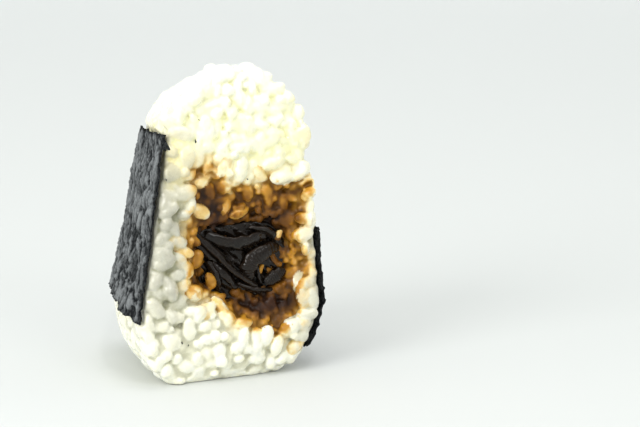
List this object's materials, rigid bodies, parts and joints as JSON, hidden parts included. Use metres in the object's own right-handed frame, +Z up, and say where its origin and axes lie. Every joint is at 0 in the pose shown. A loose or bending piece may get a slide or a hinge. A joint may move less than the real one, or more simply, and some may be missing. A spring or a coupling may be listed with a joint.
{
  "type": "cut kombu onigiri",
  "caption": "Upright half of a pressed rice ball cut through its peak, showing simmered kelp in a soy-stained hollow, with a nori band round its sides and back.",
  "frame": {"origin": "on the flat that the rice stands on, 17 mm behind the plane of the cut, under the filling", "axes": "+Z up to the peak, -Y out of the cut face, +Y to the slanted back, X from one broad side to the other"},
  "size_m": [0.0519, 0.0498, 0.0795],
  "materials": {
    "cooked_rice": "moist, slightly translucent grains, stained brown by soy round the filling",
    "simmered_kelp": "wet and glossy",
    "roasted_nori": "dull dark blue-grey with fine wrinkles"
  },
  "bodies": {
    "root": {"rice": "cooked_rice", "kombu_filling": "simmered_kelp", "nori_band": "roasted_nori"}
  },
  "joints": []
}
